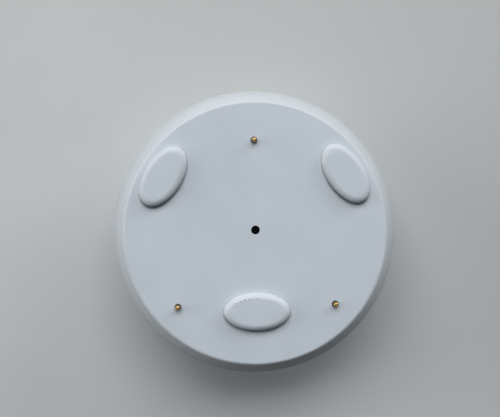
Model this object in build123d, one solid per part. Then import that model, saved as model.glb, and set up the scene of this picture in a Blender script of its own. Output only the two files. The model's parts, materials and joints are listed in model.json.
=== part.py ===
from build123d import *

import os
from math import atan2, cos, degrees, hypot, pi, radians, sin, sqrt, tan

# Water leak sensor. A round puck stands on three feet and touches the floor with three
# sprung probes. Its cover turns in a bayonet and lifts off the base.
# Millimetres, +Z up. The origin is the middle of the floor that the feet stand on.
# The battery lies along X, on the -Y side, and the wire terminals are on the +Y side.
# The cover is modelled closed but not yet turned tight, TURN_ANGLE short of its stops.

# Base
FOOT_HEIGHT = 2.0
FLOOR_THICKNESS = 2.0
BASE_RIM_HEIGHT = 8.5
BASE_RIM_WIDTH = 3.4
FLARE_RUN = 3.5
FLARE_BULGE = 0.5
FLARE_STEPS = 2
UNDERSIDE_EDGE_RADIUS = 0.9
UNDERSIDE_EDGE_STEPS = 2
CHANNEL_WIDTH = 1.6
CHANNEL_FLOOR_WIDTH = 0.6
CHANNEL_DEPTH = 5.5
CHANNEL_LIP_DEPTH = 1.5
SPIGOT_WALL = 1.6
SPIGOT_HEIGHT = 5.5
LEDGE_WIDTH = 1.0
BOSS_WALL = 1.1
KEY_WIDTH = 3.0
KEY_REACH = 1.6
KEY_CLEARANCE = 0.2
KEY_ANGLE = 180.0

# Feet
FOOT_LENGTH = 16.6
FOOT_WIDTH = 9.6
FOOT_RECESS_DEPTH = 0.6
FOOT_EDGE_RADIUS = 1.7
FOOT_EDGE_STEPS = 4
FOOT_CLEARANCE = 0.05
FOOT_NAMES = ("foot_left", "foot_right", "foot_back")
FOOT_PLACES_SHARES = ((-0.692, -0.437), (0.692, -0.437), (0.0, 0.597))

# Fixing hole in the middle of the base
FIXING_HOLE_DIAMETER = 2.2
FIXING_HOLE_OFFSET = 0.7
FIXING_HEAD_DIAMETER = 4.6

# Bayonet
BAYONET_COUNT = 3
FIRST_LUG_ANGLE = 90.0
TURN_ANGLE = 30.0
BASE_LUG_SWEEP = 24.0
COVER_LUG_SWEEP = 20.0
STOP_SWEEP = 3.0
STOP_CLEARANCE_ANGLE = 1.0
LUG_THICKNESS = 1.4
LUG_CLEARANCE = 0.4
BASE_LUG_RISE = 3.1

# Cover
SEAM_GAP = 0.3
COVER_WALL = 1.8
COVER_RIM_WIDTH = 3.2
COVER_RIM_HEIGHT = 2.6
COVER_SKIRT_HEIGHT = 3.6
SHOULDER_WIDTH = 14.0
SHOULDER_STEPS = 7
INNER_SHOULDER_STEPS = 2
DISH_DEPTH = 0.8
DISH_STEPS = 3
RIM_EDGE_BEVEL = 0.3
SEAL_GROOVE_WALL = 0.7
SEAL_GROOVE_DEPTH = 1.2
SEAL_WIDTH = 1.3
SEAL_CLEARANCE = 0.05
COLLAR_DEPTH = 2.0
COLLAR_WALL = 1.0
PUSH_RIB_THICKNESS = 2.0
PUSH_RIB_SWEEP = 24.0
PUSH_RIB_GAP = 0.3

# Light guide
LENS_DIAMETER = 6.0
LENS_CLEARANCE = 0.05
LENS_BEVEL = 0.25
GUIDE_FLANGE_DIAMETER = 9.0
GUIDE_FLANGE_THICKNESS = 1.2
GUIDE_STEM_DIAMETER = 5.0
GUIDE_MOUTH_DIAMETER = 8.0
GUIDE_MOUTH_HEIGHT = 1.2
GUIDE_MOUTH_TAPER = 1.5
GUIDE_LED_GAP = 1.2

# Circuit board
BOARD_STANDOFF = 1.6
BOARD_THICKNESS = 1.6
BOARD_CLEARANCE = 0.6
BOARD_EDGE_MARGIN = 1.0
BOARD_SCREW_PLACES_SHARES = ((-0.878, -0.122), (0.878, -0.122), (0.0, 0.469))
SCREW_SHANK_DIAMETER = 2.2
SCREW_SHANK_DEPTH = 2.4
SCREW_HEAD_DIAMETER = 4.2
SCREW_HEAD_HEIGHT = 1.5
SCREW_SLOT_LENGTH = 2.5
SCREW_HOLE_CLEARANCE = 0.1
SCREW_SLOT_WIDTH = 0.7
SCREW_SLOT_DEPTH = 0.7

# Battery, its cradle and contacts
CELL_DIAMETER = 17.0
CELL_LENGTH = 34.5
CELL_OFFSET = 12.45
CELL_LIFT = 0.3
CELL_HEADROOM = 0.9
CELL_EDGE_BEVEL = 0.5
SLEEVE_THICKNESS = 0.2
NUB_DIAMETER = 6.5
NUB_LENGTH = 1.0
NUB_BEVEL = 0.4
LEAF_THICKNESS = 0.5
COIL_ROOM = 2.2
COIL_WIRE = 0.5
COIL_WIRE_SIDES = 4
COIL_WIDE_RADIUS = 3.0
COIL_NARROW_RADIUS = 1.5
COIL_TURNS = 2.5
CRADLE_CLEARANCE = 0.15
CRADLE_WALL = 1.5
CRADLE_WALL_WIDTH = 13.0
CRADLE_WALL_RISE = 5.5
CONTACT_RISE = 4.5
CRADLE_CORNER_RADIUS = 3.0
RAIL_INNER = 3.5
RAIL_INSET = 0.8
RAIL_HEIGHT = 3.3
CLIP_THICKNESS = 1.2
CLIP_WIDTH = 5.0
CLIP_SPACING = 22.0
CLIP_LOW_ANGLE = -50.0
CLIP_HIGH_ANGLE = 28.0

# Probes
PROBE_CELL_GAP = 0.6
BACK_PROBE_PLACES_SHARES = ((-0.674, 0.622), (0.674, 0.622))
PROBE_DIAMETER = 1.4
PROBE_TIP_STEPS = 3
PROBE_HOLE_CLEARANCE = 0.15
PROBE_RUNNING_CLEARANCE = 0.05
PROBE_HEAD_DIAMETER = 2.0
PROBE_HEAD_LENGTH = 1.4
PROBE_DROP = 0.6
BARREL_WALL = 0.3
BARREL_LIP_HEIGHT = 0.8
BARREL_FLANGE_DIAMETER = 4.0
BARREL_FLANGE_HEIGHT = 0.5
PROBE_SPRING_LENGTH = 4.8
PROBE_SPRING_WIRE = 0.25
PROBE_SPRING_WIRE_SIDES = 4
PROBE_SPRING_TURNS = 3.5
PROBE_SPRING_CLEARANCE = 0.15
SPRING_END_GAP = 0.02
PROBE_SEAL_WALL = 0.9
PROBE_SEAL_HEIGHT = 1.2
PROBE_SEAL_DEPTH = 0.8

# Siren
BUZZER_DIAMETER = 12.0
BUZZER_HEIGHT = 8.0
BUZZER_WALL = 0.8
BUZZER_HOLE_DIAMETER = 2.4
BUZZER_LEDGE = 0.8
BUZZER_DISC_THICKNESS = 0.5
BUZZER_DISC_HEIGHT = 4.0
BUZZER_PLACE_SHARES = (-0.503, 0.191)

# Tamper switch, which is also the button that a finger presses when the cover is off
SWITCH_SIZE = 6.0
SWITCH_HEIGHT = 3.5
SWITCH_TOP = 0.9
SWITCH_FLOOR = 0.8
SWITCH_EDGE = 0.4
SWITCH_PLACE_SHARES = (0.451, 0.122)
BUTTON_DIAMETER = 3.4
BUTTON_HEIGHT = 14.1
BUTTON_FLANGE = 0.6
BUTTON_FLANGE_THICKNESS = 0.5
BUTTON_CLEARANCE = 0.08
BUTTON_TIP_BEVEL = 0.5

# Wire terminals
TERMINAL_POLES = 3
TERMINAL_PITCH = 3.5
TERMINAL_END_WALL = 0.3
TERMINAL_DEPTH = 7.0
TERMINAL_HEIGHT = 8.5
TERMINAL_BEVEL = 1.8
TERMINAL_SPACING = 1.0
TERMINAL_PLACE_SHARE = 0.729
WIRE_ENTRY_WIDTH = 2.6
WIRE_ENTRY_HEIGHT = 3.0
WIRE_ENTRY_DEPTH = 4.6
WIRE_ENTRY_RISE = 1.4
TERMINAL_WELL_DIAMETER = 2.8
TERMINAL_SCREW_DIAMETER = 2.6
TERMINAL_SCREW_DROP = 0.8
CLAMP_WALL = 0.35
CLAMP_CLEARANCE = 0.05
CLAMP_DEPTH = 3.0

# Radio
RADIO_LENGTH = 12.0
RADIO_WIDTH = 8.0
RADIO_BOARD_THICKNESS = 0.8
RADIO_PAD_DIAMETER = 0.8
RADIO_PAD_PITCH = 2.4
RADIO_PAD_COUNT = 4
SHIELD_LENGTH = 9.6
SHIELD_WIDTH = 6.4
SHIELD_HEIGHT = 1.8
SHIELD_CORNER = 0.6
RADIO_PLACE_SHARES = (0.382, 0.399)
ANTENNA_WIRE = 0.7
ANTENNA_WIRE_SIDES = 4
ANTENNA_RADIUS = 1.7
ANTENNA_PITCH = 2.2
ANTENNA_TURNS = 4.5
ANTENNA_BOARD_GAP = 0.3
ANTENNA_PLACE_SHARES = (-0.347, 0.507)

# Other parts on the board
LED_LENGTH = 2.0
LED_WIDTH = 1.6
LED_BODY_HEIGHT = 0.6
LED_DOME_DIAMETER = 1.3
LED_DOME_HEIGHT = 0.3
LED_DOME_BEVEL = 0.2
CHIP_SIZE = 6.0
CHIP_HEIGHT = 0.9
CHIP_MARK_DIAMETER = 0.7
CHIP_MARK_INSET = 1.0
CHIP_MARK_DEPTH = 0.15
CHIP_PLACE_SHARES = (0.747, 0.156)
REGULATOR_LENGTH = 6.5
REGULATOR_WIDTH = 3.5
REGULATOR_HEIGHT = 1.6
REGULATOR_TAB_WIDTH = 3.0
REGULATOR_LEG_WIDTH = 0.7
REGULATOR_LEG_PITCH = 2.2
REGULATOR_LEG_REACH = 1.2
REGULATOR_LEG_THICKNESS = 0.3
REGULATOR_PLACE_SHARES = (-0.83, 0.12)
CRYSTAL_LENGTH = 5.0
CRYSTAL_WIDTH = 3.2
CRYSTAL_HEIGHT = 1.2
CRYSTAL_CORNER = 0.5
CRYSTAL_PLACE_SHARES = (0.68, -0.05)
CAPACITOR_DIAMETER = 4.0
CAPACITOR_HEIGHT = 5.4
CAPACITOR_BASE_SIZE = 4.3
CAPACITOR_BASE_HEIGHT = 0.8
CAPACITOR_EDGE_BEVEL = 0.3
CAPACITOR_PLACES_SHARES = ((-0.79, 0.39), (0.79, 0.4))
RESISTOR_LENGTH = 2.0
RESISTOR_WIDTH = 1.25
RESISTOR_HEIGHT = 0.6
RESISTOR_PLACES_SHARES = (
    (-0.21, 0.22), (-0.1, 0.22), (0.01, 0.22), (0.12, 0.22), (-0.21, 0.31), (-0.1, 0.31),
    (0.01, 0.31), (0.12, 0.31), (-0.72, -0.09), (0.55, -0.06), (0.25, -0.02), (0.25, 0.07),
)
SENSOR_LENGTH = 3.0
SENSOR_WIDTH = 1.6
SENSOR_HEIGHT = 1.1
SENSOR_PLACE_SHARES = (-0.22, 0.09)

# How far a cut reaches past the face that it opens
OVERRUN = 1.0

# How many points are measured along each arc of a coiled wire
GAP_STEPS = 12

# Heights that several pieces share
UNDERSIDE_Z = FOOT_HEIGHT
FLOOR_TOP_Z = UNDERSIDE_Z + FLOOR_THICKNESS
BOARD_BOTTOM_Z = FLOOR_TOP_Z + BOARD_STANDOFF
BOARD_TOP_Z = BOARD_BOTTOM_Z + BOARD_THICKNESS
BASE_RIM_Z = UNDERSIDE_Z + BASE_RIM_HEIGHT
SPIGOT_TOP_Z = BASE_RIM_Z + SPIGOT_HEIGHT
COVER_BOTTOM_Z = BASE_RIM_Z + SEAM_GAP
SKIRT_TOP_Z = COVER_BOTTOM_Z + COVER_SKIRT_HEIGHT
BASE_LUG_BOTTOM_Z = BASE_RIM_Z + BASE_LUG_RISE
BASE_LUG_TOP_Z = BASE_LUG_BOTTOM_Z + LUG_THICKNESS
COVER_LUG_TOP_Z = BASE_LUG_BOTTOM_Z - LUG_CLEARANCE
COVER_LUG_BOTTOM_Z = COVER_LUG_TOP_Z - LUG_THICKNESS
CELL_AXIS_Z = BOARD_TOP_Z + CELL_LIFT + CELL_DIAMETER / 2
CEILING_Z = CELL_AXIS_Z + CELL_DIAMETER / 2 + CELL_HEADROOM
DISH_Z = CEILING_Z + COVER_WALL
TOP_Z = DISH_Z + DISH_DEPTH
BUTTON_TOP_Z = BOARD_TOP_Z + BUTTON_HEIGHT

# The battery and its contacts set the size of the board, and the board that of the casing
STACK_LENGTH = LEAF_THICKNESS + CELL_LENGTH + COIL_ROOM + LEAF_THICKNESS
CRADLE_HALF_LENGTH = STACK_LENGTH / 2 + CRADLE_WALL
LEAF_WIDTH = 2 * (RAIL_INNER - CRADLE_CLEARANCE)
RAIL_WIDTH = CELL_DIAMETER / 2 - RAIL_INSET - RAIL_INNER
BOARD_RADIUS = hypot(CRADLE_HALF_LENGTH, CELL_OFFSET + CRADLE_WALL_WIDTH / 2) + BOARD_EDGE_MARGIN
SPIGOT_INNER_RADIUS = BOARD_RADIUS + BOARD_CLEARANCE
SPIGOT_RADIUS = SPIGOT_INNER_RADIUS + SPIGOT_WALL
BASE_RIM_INNER_RADIUS = SPIGOT_RADIUS + CHANNEL_WIDTH
BODY_RADIUS = BASE_RIM_INNER_RADIUS + BASE_RIM_WIDTH
UNDERSIDE_RADIUS = BODY_RADIUS - FLARE_RUN
COVER_RIM_INNER_RADIUS = BODY_RADIUS - COVER_RIM_WIDTH
SEAL_GROOVE_RADIUS = COVER_RIM_INNER_RADIUS + SEAL_GROOVE_WALL
SEAL_GROOVE_WIDTH = SEAL_WIDTH + 2 * SEAL_CLEARANCE
LENS_HOLE_RADIUS = LENS_DIAMETER / 2 + LENS_CLEARANCE

# Probe fits
PROBE_HOLE_RADIUS = PROBE_DIAMETER / 2 + PROBE_HOLE_CLEARANCE
BARREL_BORE_RADIUS = PROBE_HEAD_DIAMETER / 2 + PROBE_RUNNING_CLEARANCE
BARREL_RADIUS = BARREL_BORE_RADIUS + BARREL_WALL
BARREL_BOTTOM_Z = BOARD_BOTTOM_Z - BARREL_LIP_HEIGHT
PROBE_HEAD_BOTTOM_Z = BOARD_BOTTOM_Z + PROBE_DROP
PROBE_HEAD_TOP_Z = PROBE_HEAD_BOTTOM_Z + PROBE_HEAD_LENGTH
BARREL_BORE_TOP_Z = PROBE_HEAD_TOP_Z + PROBE_SPRING_LENGTH
PROBE_SEAL_BOTTOM_Z = FLOOR_TOP_Z - PROBE_SEAL_DEPTH
PROBE_SEAL_BORE_RADIUS = PROBE_DIAMETER / 2 + PROBE_RUNNING_CLEARANCE
PROBE_SEAL_RADIUS = PROBE_SEAL_BORE_RADIUS + PROBE_SEAL_WALL
PROBE_POCKET_RADIUS = PROBE_SEAL_RADIUS + SEAL_CLEARANCE
FRONT_PROBE_PLACE = (0, -(CELL_OFFSET + CELL_DIAMETER / 2 + PROBE_CELL_GAP + BARREL_RADIUS))


def board_place(shares):
    """A place on the board, from its shares of the board's radius."""
    return shares[0] * BOARD_RADIUS, shares[1] * BOARD_RADIUS


def probe_places():
    """The three probes: one beyond the battery and two by the wire terminals."""
    return [FRONT_PROBE_PLACE, *map(board_place, BACK_PROBE_PLACES_SHARES)]


def foot_place(shares):
    """A place on the underside, from its shares of the underside's radius."""
    return shares[0] * UNDERSIDE_RADIUS, shares[1] * UNDERSIDE_RADIUS


def drum(radius, bottom, top, place=(0, 0)):
    """An upright cylinder between two heights."""
    base = Pos(place[0], place[1], bottom)
    return base * Cylinder(radius, top - bottom, align=(Align.CENTER, Align.CENTER, Align.MIN))


def tube(outer, inner, bottom, top, place=(0, 0)):
    """An upright tube, open at both ends."""
    return drum(outer, bottom, top, place) - drum(inner, bottom - OVERRUN, top + OVERRUN, place)


def block(length, width, bottom, top, place=(0, 0)):
    """A block along X and Y between two heights."""
    base = Pos(place[0], place[1], bottom)
    return base * Box(length, width, top - bottom, align=(Align.CENTER, Align.CENTER, Align.MIN))


def on_circle(radius, angle):
    """The point of a circle round the origin at an angle in degrees."""
    return radius * cos(radians(angle)), radius * sin(radians(angle))


def sector(inner, outer, start, sweep, height):
    """Part of a flat ring on the XY plane, from the angle start through sweep."""
    end = start + sweep
    outline = [
        CenterArc((0, 0), outer, start, sweep),
        Line(on_circle(outer, end), on_circle(inner, end)),
        CenterArc((0, 0), inner, start, sweep),
        Line(on_circle(inner, start), on_circle(outer, start)),
    ]
    return extrude(make_face(outline), height)


def ring_part(inner, outer, middle, sweep, bottom, top):
    """Part of an upright ring, centred on an angle."""
    return Pos(0, 0, bottom) * sector(inner, outer, middle - sweep / 2, sweep, top - bottom)


def turned(points):
    """A solid whose closed profile, in radius and height, is turned about Z."""
    sides = [Line(start, end) for start, end in zip(points, [*points[1:], points[0]])]
    return revolve(Plane.XZ * make_face(sides), Axis.Z)


def oval_points(middle, reaches, start, end, steps):
    """Points of a profile along part of an oval, from one angle in degrees to another."""
    angles = [radians(start + (end - start) * i / steps) for i in range(steps + 1)]
    return [(middle[0] + reaches[0] * cos(a), middle[1] + reaches[1] * sin(a)) for a in angles]


def bulged_points(start, end, bulge, steps):
    """Points of a profile from start to end that bow to the right of the straight way."""
    run, rise = end[0] - start[0], end[1] - start[1]
    length = hypot(run, rise)
    points = []
    for i in range(steps + 1):
        along = i / steps
        offset = 4 * bulge * along * (1 - along)
        points.append((start[0] + run * along + offset * rise / length,
                       start[1] + rise * along - offset * run / length))
    return points


def eased_points(before, corner, after, radius, steps):
    """Points of a profile that round its left-hand corner between two straight lines."""
    heading = atan2(corner[1] - before[1], corner[0] - before[0])
    turn = (atan2(after[1] - corner[1], after[0] - corner[0]) - heading) % (2 * pi)
    reach = radius * tan(turn / 2)
    x, z = corner[0] - reach * cos(heading), corner[1] - reach * sin(heading)
    angles = [heading + turn * i / steps for i in range(steps + 1)]
    return [(x + radius * (sin(a) - sin(heading)), z - radius * (cos(a) - cos(heading))) for a in angles]


def lug_angles():
    """The middle of each bayonet lug of the base, in degrees."""
    return [FIRST_LUG_ANGLE + 360 * i / BAYONET_COUNT for i in range(BAYONET_COUNT)]


def base_profile():
    """Floor, flared side, rim, channel and spigot of the base, in one turned solid."""
    middle = (0, UNDERSIDE_Z)
    edge = (UNDERSIDE_RADIUS, UNDERSIDE_Z)
    rim = (BODY_RADIUS, BASE_RIM_Z)
    flare = bulged_points(edge, rim, FLARE_BULGE, FLARE_STEPS)
    channel_z = BASE_RIM_Z - CHANNEL_DEPTH
    return turned([
        middle,
        *eased_points(middle, edge, flare[1], UNDERSIDE_EDGE_RADIUS, UNDERSIDE_EDGE_STEPS),
        *flare[1:-1],
        (BODY_RADIUS - RIM_EDGE_BEVEL / 2, BASE_RIM_Z - RIM_EDGE_BEVEL),
        (BODY_RADIUS - RIM_EDGE_BEVEL, BASE_RIM_Z),
        (BASE_RIM_INNER_RADIUS, BASE_RIM_Z),
        (BASE_RIM_INNER_RADIUS, BASE_RIM_Z - CHANNEL_LIP_DEPTH),
        (SPIGOT_RADIUS + CHANNEL_FLOOR_WIDTH, channel_z),
        (SPIGOT_RADIUS, channel_z),
        (SPIGOT_RADIUS, SPIGOT_TOP_Z),
        (SPIGOT_INNER_RADIUS, SPIGOT_TOP_Z),
        (SPIGOT_INNER_RADIUS, FLOOR_TOP_Z),
        (0, FLOOR_TOP_Z),
    ])


def base_bayonet():
    """Lugs that stand out of the spigot, each with a stop at its clockwise end."""
    root = SPIGOT_RADIUS - SPIGOT_WALL / 2
    reach = COVER_RIM_INNER_RADIUS - LUG_CLEARANCE
    stop_offset = COVER_LUG_SWEEP / 2 + STOP_CLEARANCE_ANGLE + STOP_SWEEP / 2
    pieces = []
    for angle in lug_angles():
        pieces.append(ring_part(root, reach, angle, BASE_LUG_SWEEP, BASE_LUG_BOTTOM_Z, BASE_LUG_TOP_Z))
        pieces.append(ring_part(root, reach, angle - stop_offset, STOP_SWEEP,
                                COVER_LUG_BOTTOM_Z, BASE_LUG_TOP_Z))
    return pieces


def foot_outline(shares, clearance):
    """The oval of a foot, its long side square to the radius through it."""
    x, y = foot_place(shares)
    turn = degrees(atan2(y, x)) + 90
    return Pos(x, y, 0) * Rot(0, 0, turn) * Ellipse(FOOT_LENGTH / 2 + clearance, FOOT_WIDTH / 2 + clearance)


def base_shell():
    """The moulded base: underside, flare, spigot, board ledge, bosses and bayonet lugs."""
    shell = base_profile()
    shell += base_bayonet()
    shell += tube(SPIGOT_INNER_RADIUS + SPIGOT_WALL / 2, BOARD_RADIUS - LEDGE_WIDTH,
                  UNDERSIDE_Z + FLOOR_THICKNESS / 2, BOARD_BOTTOM_Z)
    key_x, key_y = on_circle(SPIGOT_INNER_RADIUS - KEY_REACH / 2 + SPIGOT_WALL / 2, KEY_ANGLE)
    key = block(KEY_REACH + SPIGOT_WALL, KEY_WIDTH, FLOOR_TOP_Z, BOARD_TOP_Z)
    shell += Pos(key_x, key_y, 0) * Rot(0, 0, KEY_ANGLE) * key
    screw_hole = SCREW_SHANK_DIAMETER / 2 + SCREW_HOLE_CLEARANCE
    fixing = (0, -FIXING_HOLE_OFFSET)
    bosses = [(place, screw_hole) for place in map(board_place, BOARD_SCREW_PLACES_SHARES)]
    bosses += [(place, PROBE_POCKET_RADIUS) for place in probe_places()]
    bosses += [(fixing, FIXING_HEAD_DIAMETER / 2)]
    for place, bore in bosses:
        shell += drum(bore + BOSS_WALL, UNDERSIDE_Z + FLOOR_THICKNESS / 2, BOARD_BOTTOM_Z, place)
    for place in map(board_place, BOARD_SCREW_PLACES_SHARES):
        bottom = BOARD_BOTTOM_Z - SCREW_SHANK_DEPTH - SCREW_HOLE_CLEARANCE
        shell -= drum(screw_hole, bottom, BOARD_BOTTOM_Z + OVERRUN, place)
    for place in probe_places():
        shell -= drum(PROBE_POCKET_RADIUS, PROBE_SEAL_BOTTOM_Z, BOARD_BOTTOM_Z + OVERRUN, place)
        shell -= drum(PROBE_HOLE_RADIUS, UNDERSIDE_Z - OVERRUN, FLOOR_TOP_Z, place)
    shell -= drum(FIXING_HEAD_DIAMETER / 2, FLOOR_TOP_Z, BOARD_BOTTOM_Z + OVERRUN, fixing)
    shell -= drum(FIXING_HOLE_DIAMETER / 2, UNDERSIDE_Z - OVERRUN, FLOOR_TOP_Z + OVERRUN, fixing)
    for shares in FOOT_PLACES_SHARES:
        recess = Pos(0, 0, UNDERSIDE_Z + FOOT_RECESS_DEPTH) * foot_outline(shares, FOOT_CLEARANCE)
        shell -= extrude(recess, -(FOOT_RECESS_DEPTH + OVERRUN))
    return shell


def foot(shares):
    """An oval foot with a rounded sole edge, seated in its recess."""
    sections = []
    for i in range(FOOT_EDGE_STEPS + 1):
        angle = radians(90 * i / FOOT_EDGE_STEPS)
        inset = FOOT_EDGE_RADIUS * (1 - sin(angle))
        sections.append(Pos(0, 0, FOOT_EDGE_RADIUS * (1 - cos(angle))) * foot_outline(shares, -inset))
    sections.append(Pos(0, 0, FOOT_HEIGHT + FOOT_RECESS_DEPTH) * foot_outline(shares, 0))
    return loft(sections, ruled=True)


def dish_points():
    """Points of the cover's shallow dish, from the ring round it in to the light guide's flange."""
    start, end = BODY_RADIUS - SHOULDER_WIDTH, GUIDE_FLANGE_DIAMETER / 2
    points = []
    for i in range(1, DISH_STEPS + 1):
        along = i / DISH_STEPS
        points.append((start + (end - start) * along, DISH_Z + DISH_DEPTH * (1 + cos(pi * along)) / 2))
    return points


def cover_profile():
    """Rim, skirt, rounded shoulder and shallow dish of the cover, in one turned solid."""
    ring_middle = (BODY_RADIUS - SHOULDER_WIDTH, SKIRT_TOP_Z)
    outer_reaches = (SHOULDER_WIDTH, TOP_Z - SKIRT_TOP_Z)
    inner_reaches = (SHOULDER_WIDTH - COVER_WALL, CEILING_Z - SKIRT_TOP_Z)
    groove_end = SEAL_GROOVE_RADIUS + SEAL_GROOVE_WIDTH
    groove_z = COVER_BOTTOM_Z + SEAL_GROOVE_DEPTH
    return turned([
        (0, CEILING_Z),
        *oval_points(ring_middle, inner_reaches, 90, 0, INNER_SHOULDER_STEPS),
        (COVER_RIM_INNER_RADIUS, COVER_BOTTOM_Z + COVER_RIM_HEIGHT),
        (COVER_RIM_INNER_RADIUS, COVER_BOTTOM_Z),
        (SEAL_GROOVE_RADIUS, COVER_BOTTOM_Z),
        (SEAL_GROOVE_RADIUS, groove_z),
        (groove_end, groove_z),
        (groove_end, COVER_BOTTOM_Z),
        (BODY_RADIUS - RIM_EDGE_BEVEL, COVER_BOTTOM_Z),
        (BODY_RADIUS, COVER_BOTTOM_Z + RIM_EDGE_BEVEL),
        *oval_points(ring_middle, outer_reaches, 0, 90, SHOULDER_STEPS),
        *dish_points(),
        (0, DISH_Z),
    ])


def cover_shell():
    """The moulded cover, with its bayonet lugs, the light guide's collar and the push rib."""
    wall_middle_z = CEILING_Z + COVER_WALL / 2
    shell = cover_profile()
    for angle in lug_angles():
        shell += ring_part(SPIGOT_RADIUS + LUG_CLEARANCE, COVER_RIM_INNER_RADIUS + SEAL_GROOVE_WALL / 2,
                           angle + TURN_ANGLE, COVER_LUG_SWEEP, COVER_LUG_BOTTOM_Z, COVER_LUG_TOP_Z)
    collar_bore = GUIDE_FLANGE_DIAMETER / 2 + LENS_CLEARANCE
    shell += tube(collar_bore + COLLAR_WALL, collar_bore, CEILING_Z - COLLAR_DEPTH, wall_middle_z)
    switch_x, switch_y = board_place(SWITCH_PLACE_SHARES)
    rib_radius = hypot(switch_x, switch_y)
    rib_angle = degrees(atan2(switch_y, switch_x)) + TURN_ANGLE
    shell += ring_part(rib_radius - PUSH_RIB_THICKNESS / 2, rib_radius + PUSH_RIB_THICKNESS / 2,
                       rib_angle, PUSH_RIB_SWEEP, BUTTON_TOP_Z + PUSH_RIB_GAP, wall_middle_z)
    return shell - drum(LENS_HOLE_RADIUS, CEILING_Z - OVERRUN, DISH_Z + OVERRUN)


def cover_seal():
    """The flat rubber ring in the groove of the cover's rim, resting on the base."""
    inner = SEAL_GROOVE_RADIUS + SEAL_CLEARANCE
    return tube(inner + SEAL_WIDTH, inner, BASE_RIM_Z + SEAL_CLEARANCE,
                COVER_BOTTOM_Z + SEAL_GROOVE_DEPTH - SEAL_CLEARANCE)


def light_guide():
    """The clear guide: lens in the cover, flange under it, and a mouth above the indicator."""
    mouth_z = BOARD_TOP_Z + LED_BODY_HEIGHT + LED_DOME_HEIGHT + GUIDE_LED_GAP
    flange_z = CEILING_Z - GUIDE_FLANGE_THICKNESS
    return turned([
        (0, DISH_Z),
        (0, mouth_z),
        (GUIDE_MOUTH_DIAMETER / 2, mouth_z),
        (GUIDE_MOUTH_DIAMETER / 2, mouth_z + GUIDE_MOUTH_HEIGHT),
        (GUIDE_STEM_DIAMETER / 2, mouth_z + GUIDE_MOUTH_HEIGHT + GUIDE_MOUTH_TAPER),
        (GUIDE_STEM_DIAMETER / 2, flange_z),
        (GUIDE_FLANGE_DIAMETER / 2, flange_z),
        (GUIDE_FLANGE_DIAMETER / 2, CEILING_Z),
        (LENS_DIAMETER / 2, CEILING_Z),
        (LENS_DIAMETER / 2, DISH_Z - LENS_BEVEL),
        (LENS_DIAMETER / 2 - LENS_BEVEL, DISH_Z),
    ])


def circuit_board():
    """The round board, with holes for screws and probes and a key notch."""
    board = drum(BOARD_RADIUS, BOARD_BOTTOM_Z, BOARD_TOP_Z)
    below = BOARD_BOTTOM_Z - OVERRUN
    above = BOARD_TOP_Z + OVERRUN
    for place in map(board_place, BOARD_SCREW_PLACES_SHARES):
        board -= drum(SCREW_SHANK_DIAMETER / 2 + SCREW_HOLE_CLEARANCE, below, above, place)
    for place in probe_places():
        board -= drum(BARREL_RADIUS, below, above, place)
    depth = KEY_REACH - BOARD_CLEARANCE + KEY_CLEARANCE
    notch_x, notch_y = on_circle(BOARD_RADIUS - depth / 2 + OVERRUN / 2, KEY_ANGLE)
    notch = block(depth + OVERRUN, KEY_WIDTH + 2 * KEY_CLEARANCE, below, above)
    return board - Pos(notch_x, notch_y, 0) * Rot(0, 0, KEY_ANGLE) * notch


def board_screw(place):
    """A cross-headed screw that holds the board on its post."""
    top = BOARD_TOP_Z + SCREW_HEAD_HEIGHT
    head = drum(SCREW_HEAD_DIAMETER / 2, BOARD_TOP_Z, top, place)
    screw = head + drum(SCREW_SHANK_DIAMETER / 2, BOARD_BOTTOM_Z - SCREW_SHANK_DEPTH, BOARD_TOP_Z, place)
    for length, width in ((SCREW_SLOT_LENGTH, SCREW_SLOT_WIDTH), (SCREW_SLOT_WIDTH, SCREW_SLOT_LENGTH)):
        screw -= block(length, width, top - SCREW_SLOT_DEPTH, top + OVERRUN, place)
    return screw


def along_cell(x):
    """A plane across the battery's axis at a place along X, its own x axis towards +Y."""
    return Plane(origin=(x, -CELL_OFFSET, CELL_AXIS_Z), x_dir=(0, 1, 0), z_dir=(1, 0, 0))


def cell_drum(radius, start, end):
    """A cylinder on the battery's axis, from one X to another."""
    return along_cell(start) * extrude(Circle(radius), end - start)


def stack_places():
    """Where the leaf, the nub, the can and the coil begin and end along the battery's axis."""
    leaf = -STACK_LENGTH / 2
    nub = leaf + LEAF_THICKNESS
    can = nub + NUB_LENGTH
    coil = nub + CELL_LENGTH
    return leaf, nub, can, coil, coil + COIL_ROOM


def battery_cell():
    """The metal can of the cell, inside its sleeve."""
    _, _, can, coil, _ = stack_places()
    body = cell_drum(CELL_DIAMETER / 2 - SLEEVE_THICKNESS, can, coil)
    return chamfer(body.edges().filter_by(GeomType.CIRCLE), CELL_EDGE_BEVEL)


def battery_sleeve():
    """The thin sleeve round the can, short of its bevelled edges."""
    _, _, can, coil, _ = stack_places()
    start, end = can + CELL_EDGE_BEVEL, coil - CELL_EDGE_BEVEL
    return cell_drum(CELL_DIAMETER / 2, start, end) - cell_drum(
        CELL_DIAMETER / 2 - SLEEVE_THICKNESS, start - OVERRUN, end + OVERRUN)


def battery_terminal():
    """The positive nub, with a bevelled face."""
    _, nub, can, _, _ = stack_places()
    cap = cell_drum(NUB_DIAMETER / 2, nub, can)
    return chamfer(cap.edges().group_by(Axis.X)[0], NUB_BEVEL)


def battery_contact_positive():
    """The leaf between the nub and the cradle, soldered through to the board."""
    leaf, nub, _, _, _ = stack_places()
    top = CELL_AXIS_Z + CONTACT_RISE
    return block(nub - leaf, LEAF_WIDTH, BOARD_TOP_Z, top, ((leaf + nub) / 2, -CELL_OFFSET))


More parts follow.
